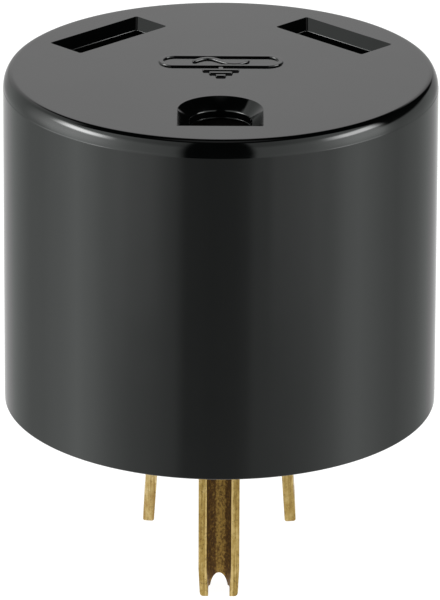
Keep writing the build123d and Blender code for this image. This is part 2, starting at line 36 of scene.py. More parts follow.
# Housing, as in the CAD model
HEIGHT = 34.8
FACE_RADIUS = 21.5
FOOT_RADIUS = 21.77
RIM_SHARP_RADIUS = 0.7
RIM_SOFT_RADIUS = 2.3
RIM_CHANGE = 35.0
FOOT_FILLET = 0.12
CAVITY_RADIUS = 19.6
CAVITY_EDGE = 0.12
FACE_INSIDE = 32.8
BOSS_BOTTOM = 3.6
BOSS_CIRCLE = 15.8
BOSS_RADIUS = 2.8
BOSS_RIB_HALF = 1.0
BOSS_ANGLES = (90.0, 207.0, 333.0)
BOSS_HOLE_RADIUS = 1.5
BOSS_HOLE_TOP = 14.5
SLOT_X = 11.33
SLOT_Y = 10.25
SLOT_TURN = 45.0
SLOT_LENGTH = 10.0
SLOT_WIDTH = 2.45
SLOT_CHAMFER = 1.0
SLOT_CORNER = 0.22
HOLE_Y = -12.3
HOLE_RADIUS = 3.03
HOLE_FLAT = 3.38
HOLE_CHAMFER = 1.14
HOLE_CORNER = 0.12
MOUTH_EDGE = 0.06
SLOT_THROAT_EDGE = 0.15
HOLE_THROAT_EDGE = 0.24
HOLE_LEDGE_DROP = 0.68
HOLE_LEDGE = 0.06
HOLE_LEDGE_EDGE = 0.04
LEDGE_SUPPORT = 0.03
FLAT_FACE_WEIGHT = 80
INNER_EDGE = 0.1
FACE_SUPPORT = 0.07
RIM_SUPPORT = 0.3
PARTING_STEP = 0.01

# How finely round stretches are cut
CORNER_STEPS = 5
ARC_STEPS = 40
CAP_STEPS = 8
STADIUM_STEPS = 16
WAVE_STEPS = 24
MOUTH_STEPS = 4
MARK_STEPS = 3
RIM_STEPS = 12
BOSS_STEPS = 28
SCREW_HOLE_STEPS = 32
ROUND_STEPS = 240

# Points and angles closer than these are taken as the same
SAME_POINT = 1e-5
SAME_ANGLE = 1e-6

# Ground pin, as in the CAD model
PIN_INNER = 1.225
PIN_RIM_Y = -6.5
PIN_BACK_Y = -2.325

# Raised mark on the face: a plain frame with an alternating-current sign, over an earth sign
MARK_HEIGHT = 0.16
MARK_LINE = 0.5
MARK_DRAFT = 0.03
MARK_EDGE = 0.03
FRAME_Y = 2.0
FRAME_LENGTH = 12.4
FRAME_WIDTH = 3.4
WAVE_HALF_LENGTH = 2.6
WAVE_RISE = 0.8
EARTH_Y = -0.75
EARTH_STEM = 0.75
EARTH_PITCH = 0.85
EARTH_BARS = (3.6, 2.3, 1.0)
BAR_CORNER = 0.1
STEM_CORNER = 0.05

# Camera: a long lens at the photograph's angle
CAMERA_ELEVATION = 21.03
CAMERA_AZIMUTH = 0.15
CAMERA_ROLL = 0.21
CAMERA_DISTANCE = 484.6
CAMERA_TARGET_Z = 17.4
CAMERA_AIM_Z = 10.15
SENSOR = 36.0
LENS = 290.4
CLIP_START = 0.01
CLIP_END = 20


# Plane outlines: lists of (x, y, corner radius), anticlockwise

def rounded(corners, steps=CORNER_STEPS, closed=True):
    """Points of an outline whose corners are replaced by arcs of their own radius."""
    points = []
    count = len(corners)
    for index, (x, y, radius) in enumerate(corners):
        here = Vector((x, y))
        at_end = not closed and index in (0, count - 1)
        if radius == 0 or at_end:
            points.append(here)
            continue
        before = (Vector(corners[index - 1][:2]) - here).normalized()
        after = (Vector(corners[(index + 1) % count][:2]) - here).normalized()
        half = before.angle(after) / 2
        centre = here + (before + after).normalized() * radius / math.sin(half)
        start = here + before * radius / math.tan(half) - centre
        sweep = start.angle_signed(here + after * radius / math.tan(half) - centre)
        for step in range(steps + 1):
            points.append(centre + Matrix.Rotation(-sweep * step / steps, 2) @ start)
    return points


def grown(corners, margin):
    """The outline moved outwards by a margin, with its corners kept."""
    result = []
    for index, (x, y, radius) in enumerate(corners):
        here = Vector((x, y))
        before = (here - Vector(corners[index - 1][:2])).normalized()
        after = (Vector(corners[(index + 1) % len(corners)][:2]) - here).normalized()
        out_before = Vector((before.y, -before.x))
        out_after = Vector((after.y, -after.x))
        move = (out_before + out_after) * margin / (1 + out_before.dot(out_after))
        result.append((here.x + move.x, here.y + move.y, radius))
    return result


def arc(centre, radius, start, end, steps=ARC_STEPS):
    """Points on an arc between two angles in degrees, without its last point."""
    turns = [math.radians(start + (end - start) * step / steps) for step in range(steps)]
    return [(centre[0] + radius * math.cos(turn), centre[1] + radius * math.sin(turn), 0) for turn in turns]


def slot_outline():
    x = SLOT_LENGTH / 2
    y = SLOT_WIDTH / 2
    return [(x, y, SLOT_CORNER), (-x, y, SLOT_CORNER), (-x, -y, SLOT_CORNER), (x, -y, SLOT_CORNER)]


def hole_outline():
    """D shape: round on one side, flat on the other."""
    flat = [(-HOLE_RADIUS, -HOLE_FLAT, HOLE_CORNER), (HOLE_RADIUS, -HOLE_FLAT, HOLE_CORNER)]
    return arc((0, 0), HOLE_RADIUS, 0, 180) + [(-HOLE_RADIUS, 0, 0)] + flat


def stroke_outline(line, half_width):
    """Outline of a line with round ends."""
    points = [Vector(point) for point in line]
    normals = []
    for index in range(len(points)):
        along = points[min(index + 1, len(points) - 1)] - points[max(index - 1, 0)]
        normals.append(Vector((-along.y, along.x)).normalized() * half_width)
    right = [point - normal for point, normal in zip(points, normals)]
    left = [point + normal for point, normal in zip(points, normals)]
    start = math.degrees(math.atan2(normals[0].y, normals[0].x))
    end = math.degrees(math.atan2(-normals[-1].y, -normals[-1].x))
    end_cap = arc(points[-1], half_width, end, end + 180, CAP_STEPS)[1:]
    start_cap = arc(points[0], half_width, start, start + 180, CAP_STEPS)[1:]
    there = [(point.x, point.y, 0) for point in right]
    back = [(point.x, point.y, 0) for point in reversed(left)]
    return there + end_cap + back + start_cap


def wave_line():
    """One period of a sine-like wave."""
    turns = [2 * math.pi * step / WAVE_STEPS for step in range(WAVE_STEPS + 1)]
    return [(WAVE_HALF_LENGTH * (turn / math.pi - 1), FRAME_Y + WAVE_RISE * math.sin(turn)) for turn in turns]


def stadium_outline(length, width):
    radius = width / 2
    reach = length / 2 - radius
    right_end = arc((reach, FRAME_Y), radius, -90, 90, STADIUM_STEPS)
    left_end = arc((-reach, FRAME_Y), radius, 90, 270, STADIUM_STEPS)
    return right_end + left_end


def bar_outlines():
    """The earth sign: a bar with a stem, and two shorter bars."""
    half = MARK_LINE / 2
    long_half = EARTH_BARS[0] / 2
    top = EARTH_Y + half
    stem_top = EARTH_Y + EARTH_STEM
    bottom = EARTH_Y - half
    first = [(long_half, top, BAR_CORNER), (half, top, STEM_CORNER), (half, stem_top, BAR_CORNER),
             (-half, stem_top, BAR_CORNER), (-half, top, STEM_CORNER), (-long_half, top, BAR_CORNER),
             (-long_half, bottom, BAR_CORNER), (long_half, bottom, BAR_CORNER)]
    outlines = [first]
    for row, length in enumerate(EARTH_BARS[1:], start=1):
        x = length / 2
        y = EARTH_Y - row * EARTH_PITCH
        outlines.append([(x, y + half, BAR_CORNER), (-x, y + half, BAR_CORNER),
                         (-x, y - half, BAR_CORNER), (x, y - half, BAR_CORNER)])
    return outlines


# Mesh building

class Shell:
    """A mesh made of rings of vertices, walls between rings, and flat faces that fill them."""

    def __init__(self):
        self.mesh = bmesh.new()

    def ring(self, points, z, seat=Matrix.Identity(4)):
        corners = [seat @ Vector((x, y, z)) for x, y in points]
        return [self.mesh.verts.new(corner * MM) for corner in corners]

    def wall(self, low, high, closed=True):
        count = len(low)
        for index in range(count if closed else count - 1):
            after = (index + 1) % count
            quad = [low[index], low[after], high[after], high[index]]
            self.mesh.faces.new([vert for place, vert in enumerate(quad) if vert not in quad[:place]])

    def tube(self, rings):
        for low, high in zip(rings, rings[1:]):
            self.wall(low, high)

    def fill(self, outer, holes, up):
        """Triangles between an outer ring and the holes in it, at one height."""
        rings = [outer] + holes
        verts = [vert for ring in rings for vert in ring]
        flat = [Vector((vert.co.x, vert.co.y)) / MM for vert in verts]
        edges = []
        start = 0
        for ring in rings:
            size = len(ring)
            edges += [(start + index, start + (index + 1) % size) for index in range(size)]
            start += size
        hole_flats = [[Vector((vert.co.x, vert.co.y)) / MM for vert in ring] for ring in holes]
        points, _, faces, sources, _, _ = delaunay_2d_cdt(flat, edges, [], 1, SAME_POINT)
        for face in faces:
            middle = (points[face[0]] + points[face[1]] + points[face[2]]) / 3
            if any(inside(middle, hole) for hole in hole_flats):
                continue
            corner = [verts[sources[index][0]] for index in face]
            self.mesh.faces.new(corner if up else corner[::-1])

    def finish(self, name):
        bmesh.ops.recalc_face_normals(self.mesh, faces=self.mesh.faces)
        data = bpy.data.meshes.new(name)
        self.mesh.to_mesh(data)
        self.mesh.free()
        for face in data.polygons:
            face.use_smooth = True
        piece = bpy.data.objects.new(name, data)
        bpy.context.scene.collection.objects.link(piece)
        return piece


def inside(point, ring):
    """True if a point lies inside a closed ring of points."""
    result = False
    for index, here in enumerate(ring):
        before = ring[index - 1]
        if (here.y > point.y) == (before.y > point.y):
            continue
        cross = before.x + (point.y - before.y) * (here.x - before.x) / (here.y - before.y)
        if point.x < cross:
            result = not result
    return result


# Housing

def mouth_profile(chamfer, throat_edge, ledge):
    """(margin, height) pairs down an opening: chamfered mouth, throat, a fine ledge, the inner side."""
    ledge_height = HEIGHT - chamfer - HOLE_LEDGE_DROP
    corners = [(chamfer + FACE_SUPPORT, HEIGHT, 0), (chamfer, HEIGHT, MOUTH_EDGE),
               (0, HEIGHT - chamfer, throat_edge)]
    if ledge:
        corners += [(0, ledge_height + LEDGE_SUPPORT, 0), (0, ledge_height, 0),
                    (-ledge, ledge_height, HOLE_LEDGE_EDGE)]
    corners += [(-ledge, FACE_INSIDE, INNER_EDGE), (INNER_EDGE * 2 - ledge, FACE_INSIDE, 0)]
    return rounded(corners, steps=MOUTH_STEPS, closed=False)


def opening(shell, outline, chamfer, throat_edge, ledge, seat):
    """Adds the walls of one opening, and returns its top and bottom rings."""
    rings = []
    for margin, height in mouth_profile(chamfer, throat_edge, ledge):
        rings.append(shell.ring(rounded(grown(outline, margin)), height, seat))
    shell.tube(rings)
    return rings[0], rings[-1]


def raised(shell, outline, side=1):
    """Rings of one edge of the raised mark: a drafted wall with a rounded top."""
    top = HEIGHT + MARK_HEIGHT
    corners = [(FACE_SUPPORT, HEIGHT, 0), (0, HEIGHT, 0), (-MARK_DRAFT, top, MARK_EDGE),
               (-MARK_DRAFT - FACE_SUPPORT, top, 0)]
    profile = rounded(corners, steps=MARK_STEPS, closed=False)
    rings = []
    for margin, height in profile:
        rings.append(shell.ring(rounded(grown(outline, side * margin), steps=MARK_STEPS), height))
    shell.tube(rings)
    return rings[0], rings[-1]


def face_mark(shell):
    """Adds the raised mark, and returns the rings where it stands on the face and the frame's field."""
    feet = []
    for outline in [stroke_outline(wave_line(), MARK_LINE / 2)] + bar_outlines():
        foot, top = raised(shell, outline)
        shell.fill(top, [], True)
        feet.append(foot)
    outer = stadium_outline(FRAME_LENGTH, FRAME_WIDTH)
    inner = stadium_outline(FRAME_LENGTH - 2 * MARK_LINE, FRAME_WIDTH - 2 * MARK_LINE)
    outer_foot, outer_top = raised(shell, outer)
    inner_foot, inner_top = raised(shell, inner, side=-1)
    shell.fill(outer_top, [inner_top], True)
    shell.fill(inner_foot, [feet[0]], True)
    return [outer_foot] + feet[1:]


def round_ring(shell, radius, z):
    turns = [2 * math.pi * step / ROUND_STEPS for step in range(ROUND_STEPS)]
    return shell.ring([(radius * math.cos(turn), radius * math.sin(turn)) for turn in turns], z)


def boss_corner_angles():
    """Angles, in turns, where each boss's rib meets the cavity wall."""
    half = math.degrees(math.asin(BOSS_RIB_HALF / CAVITY_RADIUS))
    return [(angle - half, angle + half) for angle in BOSS_ANGLES]


def cavity_points():
    """Points round the cavity wall, with the ribs' corners, as (angle, x, y)."""
    spans = boss_corner_angles()
    step = 360 / ROUND_STEPS
    edges = [edge for span in spans for edge in span]
    even = [index * step for index in range(ROUND_STEPS)]
    angles = [angle for angle in even if not any(abs(angle - edge) < step / 3 for edge in edges)] + edges
    places = []
    for angle in sorted(angles):
        turn = math.radians(angle)
        places.append((angle, CAVITY_RADIUS * math.cos(turn), CAVITY_RADIUS * math.sin(turn)))
    return places


def boss_loop(angle):
    """Points down one side of a boss's rib, round the boss, and back up the other side."""
    seat = Matrix.Rotation(math.radians(angle), 2)
    root = math.degrees(math.asin(BOSS_RIB_HALF / BOSS_RADIUS))
    points = [(x, y) for x, y, _ in arc((BOSS_CIRCLE, 0), BOSS_RADIUS, -root, root - 360, BOSS_STEPS)]
    points.append((BOSS_CIRCLE + BOSS_RADIUS * math.cos(math.radians(root)), BOSS_RIB_HALF))
    return [seat @ Vector(point) for point in points]


def cavity(shell, throats):
    """Adds the cavity wall, the three bosses and the inner side of the face; returns its lowest ring."""
    places = cavity_points()
    spans = boss_corner_angles()
    plain = [(x, y) for _, x, y in places]
    widen = 1 + CAVITY_EDGE / CAVITY_RADIUS
    lip = shell.ring([(x * widen, y * widen) for x, y in plain], 0)
    foot = shell.ring(plain, CAVITY_EDGE)
    middle = shell.ring(plain, BOSS_BOTTOM)
    shell.tube([lip, foot, middle])
    low = []
    high_points = []
    for vert, (angle, x, y) in zip(middle, places):
        span = next((index for index, (start, end) in enumerate(spans) if start < angle < end), None)
        if span is not None:
            continue
        low.append(vert)
        high_points.append((x, y))
        starts = [index for index, (start, _) in enumerate(spans) if abs(start - angle) < SAME_ANGLE]
        for index in starts:
            loop = boss_loop(BOSS_ANGLES[index])
            low += shell.ring([tuple(point) for point in loop], BOSS_BOTTOM)
            high_points += [tuple(point) for point in loop]
    high = shell.ring(high_points, FACE_INSIDE)
    shell.wall(low, high)
    for index, angle in enumerate(BOSS_ANGLES):
        boss_end(shell, index, angle, low, middle, places, spans)
    shell.fill(high, throats, False)
    return lip


def boss_end(shell, index, angle, low, middle, places, spans):
    """Fills one boss's lower end and its rib's, round the screw's blind hole."""
    start, end = spans[index]
    from_angle = start - SAME_ANGLE
    to_angle = end + SAME_ANGLE
    wall_part = [vert for vert, (turn, _, _) in zip(middle, places) if from_angle <= turn <= to_angle]
    first = low.index(wall_part[0])
    last = low.index(wall_part[-1])
    outline = low[first:last] + wall_part[::-1][:-1]
    centre = Matrix.Rotation(math.radians(angle), 2) @ Vector((BOSS_CIRCLE, 0))
    circle = [(x, y) for x, y, _ in arc(centre, BOSS_HOLE_RADIUS, 0, 360, SCREW_HOLE_STEPS)]
    hole_low = shell.ring(circle, BOSS_BOTTOM)
    hole_high = shell.ring(circle, BOSS_HOLE_TOP)
    shell.wall(hole_low, hole_high)
    shell.fill(hole_high, [], False)
    shell.fill(outline, [hole_low], False)


def rim_profile():
    """Rounded rim: a wide arc up from the wall, then a tight one into the face."""
    turn = math.radians(RIM_CHANGE)
    rise = (RIM_SOFT_RADIUS - RIM_SHARP_RADIUS) * math.sin(turn) + RIM_SHARP_RADIUS
    wall_radius = FACE_RADIUS + (FOOT_RADIUS - FACE_RADIUS) * rise / HEIGHT
    soft = Vector((wall_radius - RIM_SOFT_RADIUS, HEIGHT - rise))
    sharp = soft + (RIM_SOFT_RADIUS - RIM_SHARP_RADIUS) * Vector((math.cos(turn), math.sin(turn)))
    wide_arc = arc(soft, RIM_SOFT_RADIUS, 0, RIM_CHANGE, RIM_STEPS)
    tight_arc = arc(sharp, RIM_SHARP_RADIUS, RIM_CHANGE, 90, RIM_STEPS)
    return wide_arc + tight_arc + [(sharp.x, HEIGHT, 0), (sharp.x - RIM_SUPPORT, HEIGHT, 0)]


def outside_profile():
    """(radius, height) pairs of the outer wall, with a fine parting step where the rim starts."""
    foot = [(CAVITY_RADIUS, 0, 0), (FOOT_RADIUS, 0, FOOT_FILLET)]
    rim = rim_profile()
    parting = [(rim[0][0] + PARTING_STEP, rim[0][1] - 2 * PARTING_STEP, 0),
               (rim[0][0] + PARTING_STEP, rim[0][1] - PARTING_STEP, 0)]
    return rounded(foot + parting + rim, closed=False)[1:]


def housing():
    shell = Shell()
    ends = []
    for side in (1, -1):
        turn = Matrix.Rotation(-side * math.radians(SLOT_TURN), 4, "Z")
        seat = Matrix.Translation((side * SLOT_X, SLOT_Y, 0)) @ turn
        ends.append(opening(shell, slot_outline(), SLOT_CHAMFER, SLOT_THROAT_EDGE, 0, seat))
    hole_seat = Matrix.Translation((0, HOLE_Y, 0))
    ends.append(opening(shell, hole_outline(), HOLE_CHAMFER, HOLE_THROAT_EDGE, HOLE_LEDGE, hole_seat))
    mouths = [top for top, _ in ends]
    throats = [bottom for _, bottom in ends]
    outer = [round_ring(shell, radius, z) for radius, z in outside_profile()]
    shell.tube(outer)
    shell.fill(outer[-1], mouths + face_mark(shell), True)
    shell.fill(outer[0], [cavity(shell, throats)], False)
    piece = shell.finish("housing_moulding")
    piece.modifiers.new("flat_faces_stay_flat", "WEIGHTED_NORMAL").weight = FLAT_FACE_WEIGHT
    return piece


# Node trees

def add(tree, kind, inputs=None, **settings):
    """Adds a node; inputs are plain values, or sockets to link."""
    node = tree.nodes.new(kind)
    for key, value in settings.items():
        setattr(node, key, value)
    for key, value in (inputs or {}).items():
        if isinstance(value, bpy.types.NodeSocket):
            tree.links.new(value, node.inputs[key])
        else:
            node.inputs[key].default_value = value
    return node


def combine(tree, operation, first, second=0.0):
    return add(tree, "ShaderNodeMath", {0: first, 1: second}, operation=operation).outputs[0]


def smooth_step(tree, value, low, high, start=0.0, end=1.0):
    """A smooth ramp of value from start at low to end at high."""
    inputs = {"Value": value, "From Min": low, "From Max": high, "To Min": start, "To Max": end}
    return add(tree, "ShaderNodeMapRange", inputs, interpolation_type="SMOOTHSTEP").outputs["Result"]


def noise(tree, place, scale, detail=3.0, roughness=0.55, stretch=(1, 1, 1)):
    """Noise with a given number of features per metre, squeezed along each axis by stretch."""
    squeezed = add(tree, "ShaderNodeMapping", {"Vector": place, "Scale": stretch}).outputs[0]
    inputs = {"Vector": squeezed, "Scale": scale, "Detail": detail, "Roughness": roughness}
    return add(tree, "ShaderNodeTexNoise", inputs).outputs["Fac"]


def colour_ramp(tree, value, stops):
    ramp = add(tree, "ShaderNodeValToRGB", {"Fac": value})
    elements = ramp.color_ramp.elements
    while len(elements) < len(stops):
        elements.new(0.5)
    for element, (place, colour) in zip(elements, stops):
        element.position = place
        element.color = (*colour, 1)
    return ramp.outputs["Color"]


def bump(tree, heights):
    """Normal from (height, depth in metres) layers."""
    normal = None
    for height, depth in heights:
        inputs = {"Height": height, "Distance": depth, "Strength": 1.0}
        if normal:
            inputs["Normal"] = normal
        normal = add(tree, "ShaderNodeBump", inputs).outputs["Normal"]
    return normal


def material(name):
    """An empty material: its node tree, its shader and the place on the object."""
    made = bpy.data.materials.new(name)
    made.use_nodes = True
    tree = made.node_tree
    shader = tree.nodes["Principled BSDF"]
    place = add(tree, "ShaderNodeTexCoord").outputs["Object"]
    return made, tree, shader, place


def band_of(tree, value, places, height):
    """A smooth hump of value, over four places in millimetres."""
    rise = smooth_step(tree, value, places[0] * MM, places[1] * MM, 0.0, height)
    fall = smooth_step(tree, value, places[2] * MM, places[3] * MM, 1.0, 0.0)
    return combine(tree, "MULTIPLY", rise, fall)


def drive(tree, shader, **sockets):
    for name, socket in sockets.items():
        tree.links.new(socket, shader.inputs[name.replace("_", " ")])


# Materials: noise scales are features per metre, and bump depths are metres

NOISE_LOW = 0.3
NOISE_HIGH = 0.7
PLASTIC_CLOUD = 160
PLASTIC_GRAIN = 5200
PLASTIC_WAVE = 95
PLASTIC_MATT_FROM = 0.72
PLASTIC_IOR = 1.5

# Brass colours, as ramps of (level, colour)
CLEAN_BRASS = ((0.32, (0.50, 0.32, 0.12)), (0.5, (0.72, 0.52, 0.22)), (0.68, (0.88, 0.72, 0.42)))
BRIGHT_BRASS = ((0.36, (0.315, 0.20, 0.068)), (0.5, (0.52, 0.387, 0.158)), (0.64, (0.75, 0.61, 0.35)))
DULL_BRASS = ((0.36, (0.19, 0.115, 0.032)), (0.5, (0.35, 0.24, 0.070)), (0.64, (0.60, 0.45, 0.19)))
CHANNEL_BRASS = ((0.40, (0.155, 0.092, 0.048)), (0.55, (0.27, 0.155, 0.050)), (0.73, (0.68, 0.47, 0.13)))
SPECK_COLOUR = (0.07, 0.043, 0.018, 1)
FIBRE_DARK = (0.06, 0.055, 0.05)
FIBRE_LIGHT = (0.17, 0.155, 0.14)

BRASS_GRAIN = 5200
BRASS_MOTTLE = 1900
BRASS_SPECKS = 5600
CHANNEL_SPECKLE = 4600
ALONG_PRONG = (1, 1, 0.035)
MOTTLE_STRETCH = (1, 1, 0.6)
CHANNEL_STRETCH = (1, 1, 0.7)
MOTTLE_DEPTH = 6e-6

# Places on the prongs, in millimetres
TIP_DIRT_FROM = -11
TIP_DIRT_FULL = -16
BRIGHT_TO_DULL = (-4.5, -3.5)
DULL_TO_HOT_BLADE = (3.5, 4.5)
ARM_EDGE_HIGHLIGHT_AND_POLISH = (1.24, 1.3, 1.36, 1.46)
CHANNEL_LIT_STRIP = (-0.45, -0.2, 0.45, 0.8)
CHANNEL_SIDE = (0.01, 0.045)
CHANNEL_FRONT = (0.04, 0.14)
CHANNEL_BACK = (0.5, 0.3)


def moulded_plastic(name, dark, light, gloss, matt, wave=2.0e-5, grain=6.0e-7):
    """Moulded thermoset: nearly even colour, a gloss that varies, a slow waviness and a fine grain."""
    made, tree, shader, place = material(name)
    cloud = noise(tree, place, PLASTIC_CLOUD, 4)
    fine = noise(tree, place, PLASTIC_GRAIN, 2)
    slow = noise(tree, place, PLASTIC_WAVE, 1.5)
    drive(tree, shader,
          Base_Color=colour_ramp(tree, cloud, [(NOISE_LOW, dark), (NOISE_HIGH, light)]),
          Roughness=smooth_step(tree, cloud, NOISE_LOW, PLASTIC_MATT_FROM, gloss, matt),
          Normal=bump(tree, [(slow, wave), (fine, grain)]))
    shader.inputs["IOR"].default_value = PLASTIC_IOR
    return made


def mixed_colour(tree, factor, first, second):
    return add(tree, "ShaderNodeMix", {"Factor": factor, "A": first, "B": second},
               data_type="RGBA").outputs["Result"]


def brass_marks(tree, place):
    """Lengthwise grain, mottled tarnish, and their mean."""
    grain = noise(tree, place, BRASS_GRAIN, 3, stretch=ALONG_PRONG)
    mottle = noise(tree, place, BRASS_MOTTLE, 5, 0.7, stretch=MOTTLE_STRETCH)
    return grain, mottle, combine(tree, "MULTIPLY", combine(tree, "ADD", grain, mottle), 0.5)


def contact_brass(name):
    """Clean brass strip with a fine grain."""
    made, tree, shader, place = material(name)
    grain, mottle, tone = brass_marks(tree, place)
    drive(tree, shader,
          Base_Color=colour_ramp(tree, tone, CLEAN_BRASS),
          Roughness=smooth_step(tree, mottle, NOISE_LOW, NOISE_HIGH, 0.2, 0.34),
          Normal=bump(tree, [(grain, 3.5e-6), (mottle, MOTTLE_DEPTH)]))
    shader.inputs["Metallic"].default_value = 1.0
    return made


def pin_channel(tree, across, depth):
    """1 on the inner walls of the ground pin's channel, 0 elsewhere."""
    side = [(PIN_INNER + place) * MM for place in CHANNEL_SIDE]
    front = [(PIN_RIM_Y + place) * MM for place in CHANNEL_FRONT]
    back = [(PIN_BACK_Y - place) * MM for place in CHANNEL_BACK]
    between_arms = smooth_step(tree, across, *side, 1.0, 0.0)
    behind_rims = smooth_step(tree, depth, *front)
    before_back = smooth_step(tree, depth, *back, 1.0, 0.0)
    return combine(tree, "MULTIPLY", combine(tree, "MULTIPLY", between_arms, behind_rims), before_back)


def blade_metal(tree, parts, across, tone):
    """Colour of the prongs' outsides: the neutral blade is bright, the hot one and the pin duller, with a
    paler line at the arms' inner edges that is part painted highlight, part polish.
    """
    tip_dirt = smooth_step(tree, parts["Z"], TIP_DIRT_FULL * MM, TIP_DIRT_FROM * MM, 0.055, 0.0)
    bright = colour_ramp(tree, combine(tree, "SUBTRACT", tone, tip_dirt), BRIGHT_BRASS)
    # Part painted highlight, part polish: a paler line along the arms' inner edges.
    edge_highlight_and_polish = band_of(tree, across, ARM_EDGE_HIGHLIGHT_AND_POLISH, 0.09)
    dull = colour_ramp(tree, combine(tree, "ADD", tone, edge_highlight_and_polish), DULL_BRASS)
    past_neutral = smooth_step(tree, parts["X"], *[place * MM for place in BRIGHT_TO_DULL])
    at_hot = smooth_step(tree, parts["X"], *[place * MM for place in DULL_TO_HOT_BLADE], 0.0, 0.25)
    return mixed_colour(tree, combine(tree, "SUBTRACT", past_neutral, at_hot), bright, dull)


def channel_metal(tree, place, parts, tone):
    """Colour of the ground pin's channel: brown and patchy with tarnish, with a paler strip of painted light
    down its middle.
    """
    # Painted light: the middle of the channel is drawn paler than its shaded sides.
    strip = band_of(tree, parts["X"], CHANNEL_LIT_STRIP, 0.17)
    speckle = noise(tree, place, CHANNEL_SPECKLE, 2, 0.6, stretch=CHANNEL_STRETCH)
    patchy = combine(tree, "ADD", combine(tree, "MULTIPLY", speckle, 0.75),
                     combine(tree, "MULTIPLY", tone, 0.25))
    return colour_ramp(tree, combine(tree, "ADD", patchy, strip), CHANNEL_BRASS)


def prong_brass(name):
    """Worn prongs, with dark specks all over and a rougher, less metallic channel in the ground pin."""
    made, tree, shader, place = material(name)
    parts = add(tree, "ShaderNodeSeparateXYZ", {0: place}).outputs
    across = combine(tree, "ABSOLUTE", parts["X"])
    grain, mottle, tone = brass_marks(tree, place)
    outside = blade_metal(tree, parts, across, tone)
    channel = pin_channel(tree, across, parts["Y"])
    metal = mixed_colour(tree, channel, outside, channel_metal(tree, place, parts, tone))
    specks = noise(tree, place, BRASS_SPECKS, 2, 0.6, stretch=MOTTLE_STRETCH)
    dark = smooth_step(tree, specks, 0.58, 0.72, 0.0, 0.55)
    worn = smooth_step(tree, mottle, NOISE_LOW, NOISE_HIGH, 0.26, 0.46)
    drive(tree, shader,
          Base_Color=mixed_colour(tree, dark, metal, SPECK_COLOUR),
          Metallic=combine(tree, "SUBTRACT", 1.0, combine(tree, "MULTIPLY", channel, 0.6)),
          Roughness=combine(tree, "ADD", worn, combine(tree, "MULTIPLY", channel, 0.3)),
          Normal=bump(tree, [(grain, 4.5e-6), (mottle, MOTTLE_DEPTH)]))
    shader.inputs["Specular IOR Level"].default_value = 0.15
    return made


def drawn_metal(name, low, high, gloss, matt, stretch=(1, 1, 0.05)):
    """Bright strip or wire metal with a fine grain along it."""
    made, tree, shader, place = material(name)
    grain = noise(tree, place, 6000, 3, stretch=stretch)
    stain = noise(tree, place, 700, 4, 0.65)
    tone = combine(tree, "ADD", combine(tree, "MULTIPLY", grain, 0.4), combine(tree, "MULTIPLY", stain, 0.6))
    drive(tree, shader,
          Base_Color=colour_ramp(tree, tone, [(NOISE_LOW, low), (NOISE_HIGH, high)]),
          Roughness=smooth_step(tree, stain, NOISE_LOW, NOISE_HIGH, gloss, matt),
          Normal=bump(tree, [(grain, 2e-6)]))
    shader.inputs["Metallic"].default_value = 1.0
    return made


def pressed_fibre(name):
    """Grey insulating fibre board: long matted fibres, no gloss."""
    made, tree, shader, place = material(name)
    strands = noise(tree, place, 2600, 6, 0.75, stretch=(0.25, 1, 1))
    blots = noise(tree, place, 500, 3)
    tone = combine(tree, "ADD", combine(tree, "MULTIPLY", strands, 0.7),
                   combine(tree, "MULTIPLY", blots, 0.3))
    drive(tree, shader,
          Base_Color=colour_ramp(tree, tone, [(NOISE_LOW, FIBRE_DARK), (NOISE_HIGH, FIBRE_LIGHT)]),
          Normal=bump(tree, [(strands, 2.5e-5)]))
    shader.inputs["Roughness"].default_value = 0.85
    return made


def finishes():
    """One material for each of the record's material slots, from (dark, light, gloss, matt)."""
    body = ((0.0008, 0.0010, 0.0010), (0.0012, 0.0014, 0.0014), 0.07, 0.11)
    base = ((0.006, 0.006, 0.0065), (0.011, 0.011, 0.0115), 0.24, 0.4)
    carrier = ((0.010, 0.009, 0.008), (0.018, 0.016, 0.014), 0.3, 0.5)
    bronze = ((0.50, 0.29, 0.14), (0.78, 0.52, 0.30), 0.22, 0.36)
    spring = ((0.30, 0.31, 0.33), (0.55, 0.56, 0.58), 0.24, 0.4)
    screw = ((0.42, 0.42, 0.40), (0.72, 0.72, 0.69), 0.18, 0.34)
    return {
        "body_plastic": moulded_plastic("body_plastic_finish", *body),
        "base_plastic": moulded_plastic("base_plastic_finish", *base, grain=2.5e-6),
        "carrier_plastic": moulded_plastic("carrier_plastic_finish", *carrier, grain=2.5e-6),
        "fibre": pressed_fibre("fibre_finish"),
        "prong_brass": prong_brass("prong_brass_finish"),
        "contact_brass": contact_brass("contact_brass_finish"),
        "spring_bronze": drawn_metal("spring_bronze_finish", *bronze),
        "spring_steel": drawn_metal("spring_steel_finish", *spring),
        "screw_steel": drawn_metal("screw_steel_finish", *screw, stretch=(1, 1, 1)),
    }


# Studio

# Brightness of the pale walls, as (azimuth, level); azimuths and elevations are degrees
RING_SCALE = 2.0
RING = ((-180, 0.85), (-160, 0.7), (-135, 0.6), (-120, 0.63), (-108, 0.84), (-92, 1.31), (-81, 1.75),
        (-70, 1.58), (-58, 1.17), (-48, 0.94), (-35, 0.76), (-24, 0.62), (-18, 0.33), (-4, 0.28),
        (8, 0.31), (14, 0.39), (18, 0.57), (34, 0.68), (48, 0.84), (62, 1.15), (70, 1.42), (78, 1.46),
        (88, 1.15), (97, 0.87), (107, 0.65), (128, 0.53), (150, 0.56), (180, 0.85))
# Top of the pale walls, as (azimuth, elevation)
WALL_TOP = ((-180, 27), (-162, 27), (-140, 48), (-112, 46), (-103, 38), (-90, 40), (-78, 46), (-62, 50),
            (-50, 53), (50, 53), (62, 50), (78, 46), (90, 40), (100, 40), (140, 45), (162, 27), (180, 27))
